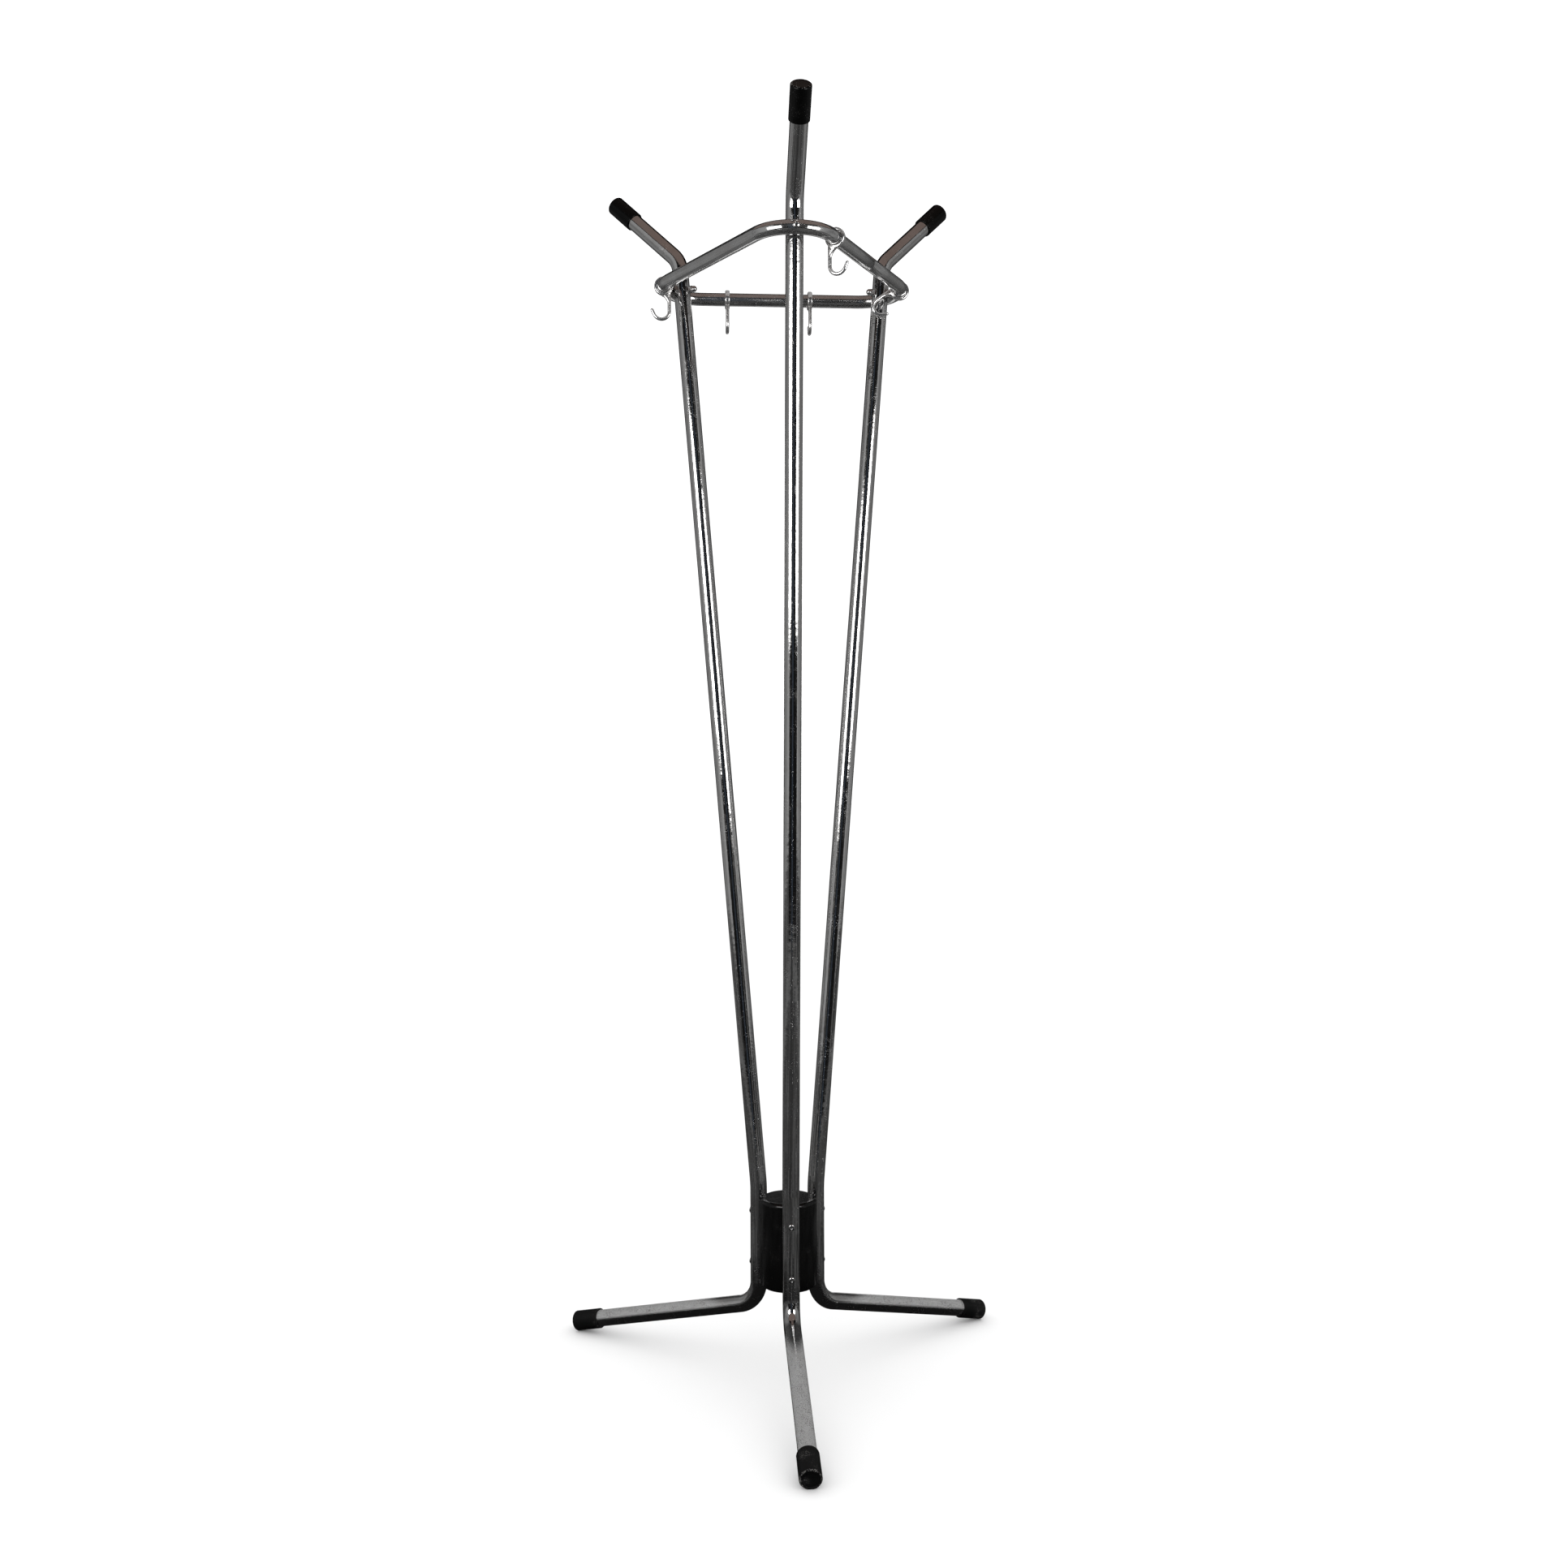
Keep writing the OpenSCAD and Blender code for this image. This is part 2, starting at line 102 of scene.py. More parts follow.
def loft(name, rings, wrap=False, sharp=35.0, origin=0.0):
    """A skin over rings of points, closed at both ends or wrapped round from the last ring to the first.

    Its UV map gives metres round it and along it. origin is where the metres along it start.
    """
    mesh = bmesh.new()
    uv = mesh.loops.layers.uv.new("surface")
    grid = [[mesh.verts.new(Vector(p) * MM) for p in ring] for ring in rings]
    along = [origin]
    for a, b in zip(rings, rings[1:]):
        along.append(along[-1] + (Vector(b[0]) - Vector(a[0])).length * MM)
    around = max(_girth(ring) for ring in rings) * MM
    count = len(rings[0])
    for i in range(len(rings) if wrap else len(rings) - 1):
        k = (i + 1) % len(rings)
        for j in range(count):
            n = (j + 1) % count
            face = mesh.faces.new((grid[i][j], grid[i][n], grid[k][n], grid[k][j]))
            corners = ((j, i), (j + 1, i), (j + 1, i + 1), (j, i + 1))
            for loop, (u, v) in zip(face.loops, corners):
                v_metres = along[v] if v < len(along) else along[-1] + MM
                loop[uv].uv = (u / count * around, v_metres)
    if not wrap:
        mesh.faces.new(grid[0])
        mesh.faces.new(grid[-1])
    bmesh.ops.recalc_face_normals(mesh, faces=mesh.faces)
    data = bpy.data.meshes.new(name)
    mesh.to_mesh(data)
    mesh.free()
    data.shade_smooth()
    data.set_sharp_from_angle(angle=math.radians(sharp))
    return data


def _girth(ring):
    return sum((Vector(a) - Vector(b)).length for a, b in zip(ring, ring[1:] + ring[:1]))


def merge(name, parts):
    """One mesh from several, each a (mesh, matrix) pair. The matrices are in millimetres."""
    whole = bmesh.new()
    for data, place in parts:
        data.transform(_metres(place))
        whole.from_mesh(data)
        bpy.data.meshes.remove(data)
    data = bpy.data.meshes.new(name)
    whole.to_mesh(data)
    whole.free()
    return data


def _metres(place):
    """The same placement, with its shift in metres."""
    scaled = place.copy()
    scaled.translation = place.translation * MM
    return scaled


def piece(name, data, place, body, slot_name, material, *nodes):
    """Adds a mesh as a piece that stands for CAD nodes and rides on their body."""
    made = bpy.data.objects.new(name, data)
    if body == "stand":
        data.transform(_metres(place))
    else:
        made.matrix_world = _metres(place)
    bpy.context.scene.collection.objects.link(made)
    if not data.materials:
        data.materials.append(material)
    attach(made, body)
    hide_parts(*nodes)
    return made


def turn_about_z(degrees):
    return Matrix.Rotation(math.radians(degrees), 4, "Z")


def shift(x, y, z):
    return Matrix.Translation((x, y, z))


class Pen:
    """Draws a centre line in a plane, as (x, y, heading) samples. Headings turn anticlockwise, in degrees."""

    def __init__(self, x, y, heading):
        self.x, self.y, self.heading = x, y, heading
        self.samples = [(x, y, heading)]

    def straight(self, length, step=60.0, margin=0.7):
        """Goes straight on. A sample close to each end keeps the shading of the run straight."""
        inner = length - 2 * margin
        count = max(1, math.ceil(inner / step))
        x, y, h = self.x, self.y, math.radians(self.heading)
        for d in [*(margin + inner * i / count for i in range(count + 1)), length]:
            self._mark(x + d * math.cos(h), y + d * math.sin(h), self.heading)

    def bend(self, radius, angle, step=3.0):
        """Turns by an angle, to the left if it is positive."""
        side = math.copysign(1, angle)
        start = self.heading
        h = math.radians(start)
        cx, cy = self.x - side * radius * math.sin(h), self.y + side * radius * math.cos(h)
        count = math.ceil(abs(angle) / step)
        for i in range(1, count + 1):
            h = math.radians(start + angle * i / count)
            self._mark(cx + side * radius * math.sin(h), cy - side * radius * math.cos(h), math.degrees(h))

    def _mark(self, x, y, heading):
        self.x, self.y, self.heading = x, y, heading
        self.samples.append((x, y, heading))

    def rings(self, radius, sides=SIDES, chamfer=0.0):
        """Round sections along the line. The plane is XY. chamfer makes the two end sections smaller."""
        made = []
        for i, (x, y, heading) in enumerate(self.samples):
            h = math.radians(heading)
            r = radius - chamfer if i in (0, len(self.samples) - 1) else radius
            ring = []
            for j in range(sides):
                a = 2 * math.pi * j / sides
                left = r * math.cos(a)
                ring.append((x - left * math.sin(h), y + left * math.cos(h), r * math.sin(a)))
            made.append(ring)
        return made

    def tube(self, name, radius, wall, origin=0.0, chamfer=0.0):
        """A hollow tube along the line, with flat ends."""
        skins = self.rings(radius, chamfer=chamfer) + self.rings(radius - wall)[::-1]
        return loft(name, skins, wrap=True, origin=origin)


def fillet(corners, steps=6):
    """Points of an outline, open or closed, whose corners, (r, z, rounding), are rounded."""
    points = []
    for i, (r, z, rounding) in enumerate(corners):
        here = Vector((r, z))
        if not rounding:
            points.append((r, z))
            continue
        before = (Vector(corners[i - 1][:2]) - here).normalized()
        after = (Vector(corners[(i + 1) % len(corners)][:2]) - here).normalized()
        half = before.angle(after) / 2
        tangent = rounding / math.tan(half)
        centre = here + (before + after).normalized() * (rounding / math.sin(half))
        start, end = here + before * tangent - centre, here + after * tangent - centre
        for s in range(steps + 1):
            arm = start.lerp(end, s / steps)
            points.append(tuple(centre + arm.normalized() * rounding))
    return points


def turned(name, outline, sides=SIDES, sharp=35.0):
    """A turned piece about Z from its outline, (r, z) or (r, z, "hex"), from one end of it to the other.

    A "hex" point makes a hexagon there, r from its middle to its flats.
    """
    rings = []
    for r, z, *shape in outline:
        ring = []
        for j in range(sides):
            a = 2 * math.pi * j / sides
            reach = r / math.cos(a % (math.pi / 3) - math.pi / 6) if shape else r
            ring.append((reach * math.cos(a), reach * math.sin(a), z))
        rings.append(ring)
    return loft(name, rings, sharp=sharp)


# --- Node helpers ---------------------------------------------------------------------------------


class Shader:
    """A material's or world's node tree, with short calls to add to it."""

    def __init__(self, owner):
        owner.use_nodes = True
        self.tree = owner.node_tree
        self.main = self.tree.nodes.get("Principled BSDF")

    def add(self, kind, _out=0, _in=None, **settings):
        """Adds a node. _in maps its inputs to values or to other nodes' outputs. Returns an output."""
        made = self.tree.nodes.new("ShaderNode" + kind)
        for key, value in settings.items():
            setattr(made, key, value)
        for key, value in (_in or {}).items():
            self.set(made.inputs[key], value)
        return made.outputs[_out]

    def set(self, socket, value):
        if isinstance(value, bpy.types.NodeSocket):
            self.tree.links.new(value, socket)
        else:
            socket.default_value = value

    def math(self, operation, a, b=0.0, clamp=False):
        return self.add("Math", _in={0: a, 1: b}, operation=operation, use_clamp=clamp)

    def step(self, value, low, high, to_low=0.0, to_high=1.0):
        """Goes smoothly from to_low to to_high as value goes from low to high."""
        inputs = {0: value, 1: low, 2: high, 3: to_low, 4: to_high}
        return self.add("MapRange", _in=inputs, interpolation_type="SMOOTHSTEP", clamp=True)

    def mix(self, factor, a, b):
        return self.add("Mix", 2, {0: factor, 6: a, 7: b}, data_type="RGBA")

    def noise(self, at, scale, detail=3.0, roughness=0.55):
        inputs = {"Vector": at, "Scale": scale, "Detail": detail, "Roughness": roughness}
        return self.add("TexNoise", 0, inputs)

    def cells(self, at, scale):
        """Distance to the nearest of scattered points, in cell widths."""
        return self.add("TexVoronoi", 0, {"Vector": at, "Scale": scale})

    def surface(self, stretch=(1, 1, 1)):
        """Metres round and along the piece, from its UV map."""
        return self.add("Mapping", 0, {"Vector": self.add("UVMap", uv_map="surface"), "Scale": stretch})

    def space(self, stretch=(1, 1, 1)):
        """Metres in the piece's own frame."""
        return self.add("Mapping", 0, {"Vector": self.add("TexCoord", 3), "Scale": stretch})

    def bump(self, height, distance, strength=1.0, before=None):
        inputs = {"Height": height, "Distance": distance, "Strength": strength}
        if before is not None:
            inputs["Normal"] = before
        return self.add("Bump", 0, inputs)


def grey(value, warmth=0.0):
    return (value * (1 + warmth), value, value * (1 - warmth), 1)


def new_material(name):
    material = bpy.data.materials.new(name)
    return material, Shader(material)


# --- Materials ------------------------------------------------------------------------------------


def chrome(name, plate, haze, pits, flecks, film=0.0, streaked=True, ripple=0.25):
    """Old chrome plate: smudges, hairline scratches, dark pits, pale flecks, and a slightly wavy surface.

    plate is its reflectance, haze its usual roughness, pits and flecks how much of each there is, and film
    how much of the mirror a grey film hides. Near the floor its upper side is dull and densely pitted.
    """
    material, s = new_material(name)
    at = s.surface() if streaked else s.space()
    along = s.surface((1, 0.05, 1)) if streaked else s.space()
    worn = near_floor_upside(s)
    smudge = s.noise(at, 38, 4)
    grain = s.noise(at, 1500, 2)
    scratch = s.step(s.noise(along, 900, 2, 0.7), 0.66, 0.74)
    pit_size = s.step(s.noise(at, 55, 3), 0.42, 0.72, 0.04, 0.2 * pits)
    pit_size = s.math("ADD", pit_size, s.math("MULTIPLY", worn, 0.22))
    pit = s.math("LESS_THAN", s.cells(at, 720), pit_size)
    fleck_size = s.step(s.noise(at, 30, 3), 0.46, 0.7, 0.0, 0.24 * flecks)
    ragged = s.math("ADD", s.cells(at, 620), s.step(grain, 0.3, 0.7, -0.06, 0.06))
    fleck = s.math("LESS_THAN", ragged, fleck_size)
    dull = s.step(s.noise(along, 300, 3, 0.6), 0.35, 0.7, 0.6 * film, 1.4 * film)
    dull = s.math("MAXIMUM", dull, s.math("MULTIPLY", worn, 0.72), True)
    colour = s.mix(s.step(smudge, 0.35, 0.75), grey(plate), grey(plate * 0.86, 0.02))
    colour = s.mix(dull, colour, s.mix(s.step(grain, 0.35, 0.65), grey(0.2), grey(0.42)))
    colour = s.mix(s.math("MULTIPLY", pit, 0.85), colour, grey(0.04, 0.15))
    colour = s.mix(fleck, colour, grey(0.86))
    s.set(s.main.inputs["Base Color"], colour)
    spoiled = s.math("MAXIMUM", s.math("MULTIPLY", pit, 0.5), s.math("MULTIPLY", dull, 0.85))
    s.set(s.main.inputs["Metallic"], s.math("SUBTRACT", 1.0, spoiled, True))
    rough = s.step(smudge, 0.35, 0.8, haze, haze * 2.4)
    rough = s.math("ADD", rough, s.math("MULTIPLY", scratch, 0.12))
    rough = s.math("ADD", rough, s.math("MULTIPLY", dull, 0.35))
    rough = s.math("ADD", rough, s.math("MULTIPLY", s.math("ADD", pit, fleck), 0.4), True)
    s.set(s.main.inputs["Roughness"], rough)
    wavy = s.bump(s.noise(at, 45, 2), 0.0012, ripple)
    peel = s.bump(s.noise(at, 260, 3), 0.0003, ripple, wavy)
    marks = s.math("ADD", scratch, s.math("MULTIPLY", pit, 3.0))
    s.set(s.main.inputs["Normal"], s.bump(marks, 0.00003, 0.8, peel))
    return material


def near_floor_upside(s):
    """1 on surfaces near the floor that face up, where shoes and mops have worn the plate, else 0."""
    height, facing = s.tree.nodes.new("ShaderNodeSeparateXYZ"), s.tree.nodes.new("ShaderNodeSeparateXYZ")
    s.set(height.inputs[0], s.add("TexCoord", "Object"))
    s.set(facing.inputs[0], s.add("NewGeometry", "Normal"))
    low = s.step(height.outputs["Z"], WORN_BELOW, SOUND_ABOVE, 1.0, 0.0)
    return s.math("MULTIPLY", low, s.step(facing.outputs["Z"], 0.0, 0.45))


def worn_black(name, base, gloss, dust, grain, shine=0.3, rim=None):
    """Black plastic or rubber: uneven gloss, scuffs, pale dust and a moulded grain.

    shine is how strongly it mirrors. rim is where, in metres along its skin, packed pale specks paint a
    highlight on a rounded rim, with dust.
    """
    material, s = new_material(name)
    at = s.space()
    clouds = s.noise(at, 30, 5)
    scuffs = s.step(s.noise(s.space((1, 1, 0.2)), 420, 3, 0.7), 0.64, 0.72)
    dust_and_highlight_size = s.step(clouds, 0.46, 0.7, 0.0, 0.3 * dust)
    # Packed pale specks along the rounded rim: a painted highlight, mixed with dust.
    if rim:
        axes = s.tree.nodes.new("ShaderNodeSeparateXYZ")
        s.set(axes.inputs[0], s.surface())
        rim_highlight_and_dust = s.step(s.math("ABSOLUTE", s.math("SUBTRACT", axes.outputs["Y"], rim)), 0.0005, 0.003, 1.0, 0.0)
        dust_and_highlight_size = s.math("ADD", dust_and_highlight_size, s.math("MULTIPLY", rim_highlight_and_dust, 0.34))
    dust_and_highlight_specks = s.math("LESS_THAN", s.cells(at, 620), dust_and_highlight_size)
    film = s.math("MULTIPLY", s.step(clouds, 0.5, 0.8), 0.5 * dust)
    colour = s.mix(film, grey(base), grey(base * 3 + 0.008, 0.05))
    colour = s.mix(s.math("MULTIPLY", scuffs, 0.3), colour, grey(base * 4 + 0.01))
    # Pale specks: dust everywhere, and along the rim a painted highlight.
    colour = s.mix(s.math("MULTIPLY", dust_and_highlight_specks, 0.6), colour, grey(0.2, 0.04))
    s.set(s.main.inputs["Base Color"], colour)
    s.main.inputs["Specular IOR Level"].default_value = shine
    rough = s.step(clouds, 0.3, 0.8, gloss, gloss * 1.7)
    rough = s.math("ADD", rough, s.math("MULTIPLY", s.math("ADD", scuffs, dust_and_highlight_specks), 0.2), True)
    s.set(s.main.inputs["Roughness"], rough)
    grained = s.bump(s.noise(at, 900, 3), 0.0002, grain)
    s.set(s.main.inputs["Normal"], s.bump(scuffs, 0.00003, 0.4, grained))
    return material


def turned_metal(name, base, roughness):
    """Brass or steel with fine turning lines and some tarnish."""
    material, s = new_material(name)
    tarnish = s.noise(s.space(), 120, 4)
    lines = s.noise(s.space((1, 1, 12)), 400, 2)
    dark = tuple(c * 0.55 for c in base[:3]) + (1,)
    s.set(s.main.inputs["Base Color"], s.mix(s.step(tarnish, 0.45, 0.75), base, dark))
    s.main.inputs["Metallic"].default_value = 1.0
    s.set(s.main.inputs["Roughness"], s.step(lines, 0.3, 0.7, roughness, roughness * 1.6))
    s.set(s.main.inputs["Normal"], s.bump(lines, 0.00004, 0.5))
    return material


MATERIALS = {
    "leg_chrome": chrome("leg_chrome", 0.66, 0.07, 1.0, 1.0),
    "rail_chrome": chrome("rail_chrome", 0.62, 0.07, 0.8, 0.5, film=0.05),
    "hook_chrome": chrome("hook_chrome", 0.84, 0.13, 0.5, 0.0, film=0.05, streaked=False, ripple=0.5),
    "fastener_chrome": chrome("fastener_chrome", 0.7, 0.14, 0.7, 0.0, streaked=False),
    "hub_black": worn_black("hub_black", 0.0015, 0.12, 0.4, 0.05, shine=0.35),
    "arm_cap_black": worn_black("arm_cap_black", 0.001, 0.2, 0.6, 0.15, shine=0.15, rim=0.013),
    "foot_rubber": worn_black("foot_rubber", 0.002, 0.5, 1.0, 0.5, rim=0.0145),
    "insert_brass": turned_metal("insert_brass", (0.75, 0.52, 0.22, 1), 0.28),
    "sleeve_steel": turned_metal("sleeve_steel", (0.42, 0.42, 0.43, 1), 0.35),
}

# --- Legs and hub ---------------------------------------------------------------------------------


def leg_line():
    """A leg's centre line in its own plane, x outward and y up, from the foot's end to the arm's end."""
    foot_turn, arm_turn = 90 - FOOT_SLOPE, 90 - ARM_SLOPE - LEAN_ANGLE
    foot_tangent = BEND_R * math.tan(math.radians(foot_turn / 2))
    lean_tangent = LEAN_BEND_R * math.tan(math.radians(LEAN_ANGLE / 2))
    arm_tangent = BEND_R * math.tan(math.radians(arm_turn / 2))
    slope = math.radians(FOOT_SLOPE)
    foot_bend_height = FOOT_TIP_HEIGHT + (FOOT_REACH - UPRIGHT_OFFSET) * math.tan(slope)
    pole = (ARM_HEIGHT - LEAN_HEIGHT) / math.cos(math.radians(LEAN_ANGLE))
    start = (FOOT_REACH - CAP_END * math.cos(slope), FOOT_TIP_HEIGHT + CAP_END * math.sin(slope))
    pen = Pen(*start, 180 - FOOT_SLOPE)
    pen.straight((FOOT_REACH - UPRIGHT_OFFSET) / math.cos(slope) - CAP_END - foot_tangent)
    pen.bend(BEND_R, -foot_turn)
    pen.straight(LEAN_HEIGHT - foot_bend_height - foot_tangent - lean_tangent)
    pen.bend(LEAN_BEND_R, -LEAN_ANGLE, 0.7)
    pen.straight(pole - lean_tangent - arm_tangent)
    pen.bend(BEND_R, -arm_turn)
    pen.straight(ARM_LENGTH - CAP_END - arm_tangent)
    return pen


def outward_plane(direction):
    """Places a drawing plane upright, with its x along a leg's direction and its y up."""
    c, s = math.cos(math.radians(direction)), math.sin(math.radians(direction))
    return Matrix(((c, 0, s, 0), (s, 0, -c, 0), (0, 1, 0, 0), (0, 0, 0, 1)))


def hub_section(radius, z, groove_steps=14, rim_steps=26):
    """The hub's section at one height: a circle of that radius with three round grooves, where they reach it.

    Where the rim curves in past the grooves, a narrow arc takes each groove's place.
    """
    c, g = UPRIGHT_OFFSET, GROOVE_R
    crossing = max(radius, c - g + FIT)
    half = math.acos((crossing**2 + c**2 - g**2) / (2 * crossing * c))
    sweep = math.acos((c**2 + g**2 - crossing**2) / (2 * c * g))
    ring = []
    for direction in sorted(LEG_DIRECTIONS.values()):
        d = math.radians(direction)
        for i in range(groove_steps + 1):
            across = 2 * i / groove_steps - 1
            a = d + math.pi - sweep * across
            if radius < crossing:
                ring.append((radius * math.cos(d + half * across), radius * math.sin(d + half * across), z))
            else:
                ring.append((c * math.cos(d) + g * math.cos(a), c * math.sin(d) + g * math.sin(a), z))
        span = math.radians(120) - 2 * half
        for i in range(1, rim_steps):
            a = d + half + span * i / rim_steps
            ring.append((radius * math.cos(a), radius * math.sin(a), z))
    return ring


def hub_mesh():
    """The hub: grooved sides, rounded rims and flat ends."""
    rounding, inner = HUB_RIM - 0.2, HUB_R - HUB_RIM
    outline = fillet([(inner, HUB_BOTTOM, 0), (HUB_R, HUB_BOTTOM, rounding),
                      (HUB_R, HUB_TOP, rounding), (inner, HUB_TOP, 0)], 9)
    return loft("hub", [hub_section(r, z) for r, z in outline[1:-1]], sharp=40.0)


def domed_head(head_r, height, socket_flats, shank_r, shank_length):
    """A button-head screw standing on z = 0: its dome, hex socket and shank."""
    socket_r = socket_flats / 2
    rim = socket_r / math.cos(math.radians(30)) * 1.06
    dome = [(head_r * math.cos(math.radians(a)), height * (0.15 + 0.85 * math.sin(math.radians(a))))
            for a in range(0, 61, 6)]
    shank = [(PIN, -shank_length), (shank_r * 0.8, -shank_length), (shank_r, -shank_length + 0.6),
             (shank_r, 0)]
    skirt = [(head_r * 0.97, 0), (head_r, height * 0.08)]
    socket = [(rim, height * 0.97), (socket_r, height * 0.9, "hex"), (socket_r * 0.98, height * 0.4, "hex"),
              (PIN, height * 0.34)]
    return turned("head", shank + skirt + [p for p in dome if p[0] > rim] + socket, HEAD_SIDES, 30.0)


def toward_leg(direction, distance, height):
    """Frame at a height, with +Z pointing outward along a leg's direction, that far from the hub's axis."""
    return turn_about_z(direction) @ shift(distance, 0, height) @ Matrix.Rotation(math.pi / 2, 4, "Y")


def build_legs():
    """The three legs. Each one's surface starts some metres further along, so their wear differs."""
    for i, (side, direction) in enumerate(LEG_DIRECTIONS.items()):
        tube = leg_line().tube("leg_" + side, LEG_R, LEG_WALL, origin=5.0 * i)
        piece("tube_" + side, tube, outward_plane(direction), "stand", "leg_chrome",
              MATERIALS["leg_chrome"], "leg_" + side)


def build_hub():
    piece("hub", hub_mesh(), Matrix(), "stand", "hub_black", MATERIALS["hub_black"], "hub_body")
    for side, direction in LEG_DIRECTIONS.items():
        screws = [(domed_head(SCREW_HEAD_R, SCREW_HEAD, SCREW_SOCKET, SCREW_R, SCREW_LENGTH),
                   toward_leg(direction, SCREW_SEAT, z)) for z in SCREW_HEIGHTS]
        piece("screws_" + side, merge("screws", screws), Matrix(), "stand", "fastener_chrome",
              MATERIALS["fastener_chrome"], "hub_screws_" + side)


# --- Caps -----------------------------------------------------------------------------------------


def cap_mesh(name, outer_r, length, end_rim, mouth_rim, dish):
    """A push-on cap with its closed end at z = 0. The end is dished inside a raised rim."""
    bore, axis = LEG_R + FIT, 0.05
    corners = [(axis, dish, 0), (outer_r - end_rim - 2.2, dish, 0.3), (outer_r - end_rim - 1.4, 0, 0.4),
               (outer_r, 0, end_rim), (outer_r, length, mouth_rim), (bore, length, 0.5), (bore, CAP_END, 0),
               (axis, CAP_END, 0)]
    return turned(name, fillet(corners))


def arm_tip(direction):
    """Frame at the tip of an arm, +Z running down the arm."""
    crossing = UPRIGHT_OFFSET + (ARM_HEIGHT - LEAN_HEIGHT) * LEAN
    out_and_up = Matrix.Rotation(math.radians(90 - ARM_SLOPE), 4, "Y") @ shift(0, 0, ARM_LENGTH)
    down = Matrix.Rotation(math.pi, 4, "X")
    return turn_about_z(direction) @ shift(crossing, 0, ARM_HEIGHT) @ out_and_up @ down


def foot_tip(direction):
    """Frame at the tip of a foot, +Z running up the foot."""
    tilt = Matrix.Rotation(math.radians(FOOT_SLOPE - 90), 4, "Y")
    return turn_about_z(direction) @ shift(FOOT_REACH, 0, FOOT_TIP_HEIGHT) @ tilt


def rest_on_floor(data, place):
    """Flattens what would reach below the floor, as the worn underside of a foot."""
    whole = _metres(place)
    back = whole.inverted()
    for vertex in data.vertices:
        at = whole @ vertex.co
        vertex.co = back @ Vector((at.x, at.y, max(at.z, 0)))


def build_caps():
    for side, direction in LEG_DIRECTIONS.items():
        arm = cap_mesh("arm_cap", ARM_CAP_R, ARM_CAP_LENGTH, 2.6, 0.9, 0.5)
        piece("top_cap_" + side, arm, arm_tip(direction), "stand", "arm_cap_black",
              MATERIALS["arm_cap_black"], "arm_cap_" + side)
        foot = cap_mesh("foot_cap", FOOT_CAP_R, FOOT_CAP_LENGTH, 1.8, 1.2, 0.8)
        rest_on_floor(foot, foot_tip(direction))
        piece("ferrule_" + side, foot, foot_tip(direction), "stand", "foot_rubber",
              MATERIALS["foot_rubber"], "foot_cap_" + side)


# --- Rail -----------------------------------------------------------------------------------------


def rail_line():
    """The rail's centre line seen from above, from one side of its seam round to the other."""
    along = SEAM_OFFSET + SEAM_GAP / 2
    start = turn_about_z(-30) @ Vector((RAIL_DISTANCE, along, 0))
    pen = Pen(start.x, start.y, 60)
    for length in (HALF_RUN - along, 2 * HALF_RUN, 2 * HALF_RUN):
        pen.straight(length)
        pen.bend(RAIL_CORNER, 120)
    pen.straight(HALF_RUN + along - SEAM_GAP)
    return pen


def acorn_nut_mesh():
    """An acorn nut on its seat at z = 0, its dome toward -Z."""
    ball_r, hex_height = NUT_FLATS * 0.47, NUT_HEIGHT * 0.45
    middle = NUT_HEIGHT - ball_r
    ball = [(ball_r * math.cos(math.radians(a)), -middle - ball_r * math.sin(math.radians(a)))
            for a in range(0, 86, 5)]
    bore, flats = BOLT_R + FIT, NUT_FLATS / 2
    outline = [(bore, -NUT_HEIGHT * 0.7), (bore, -0.6), (BOLT_R + 0.6, 0), (flats * 0.98, 0),
               (flats, -0.5, "hex"), (flats, -hex_height + 0.9, "hex"), (flats * 1.02, -hex_height + 0.2),
               (ball_r, -hex_height), *ball]
    return turned("nut", outline, HEAD_SIDES, 28.0)


def build_rail():
    tube = rail_line().tube("rail", RAIL_R, RAIL_WALL, chamfer=SEAM_CHAMFER)
    piece("rail", tube, shift(0, 0, RAIL_HEIGHT), "stand", "rail_chrome",
          MATERIALS["rail_chrome"], "hanger_ring")
    shank = BOLT_SEAT - (NUT_SEAT - NUT_HEIGHT * 0.6)
    for side, direction in LEG_DIRECTIONS.items():
        bolt = domed_head(BOLT_HEAD_R, BOLT_HEAD, BOLT_SOCKET, BOLT_R, shank)
        piece("bolt_" + side, bolt, toward_leg(direction, BOLT_SEAT, RAIL_HEIGHT), "stand", "fastener_chrome",
              MATERIALS["fastener_chrome"], "ring_bolt_" + side)
        piece("nut_" + side, acorn_nut_mesh(), toward_leg(direction, NUT_SEAT, RAIL_HEIGHT), "stand",
              "fastener_chrome", MATERIALS["fastener_chrome"], "ring_nut_" + side)


# --- Hooks ----------------------------------------------------------------------------------------


def eye_mesh():
    """The band round the rail. Its axis is Z."""
    half, bore = EYE_LENGTH / 2, EYE_BORE - 0.25
    corners = [(bore, -half, 0.8), (EYE_R, -half, EYE_RIM), (EYE_R, half, EYE_RIM), (bore, half, 0.8)]
    angles = [2 * math.pi * j / EYE_SIDES for j in range(EYE_SIDES)]
    rings = [[(r * math.cos(a), r * math.sin(a), z) for a in angles] for r, z in fillet(corners)]
    return loft("eye", rings, wrap=True)


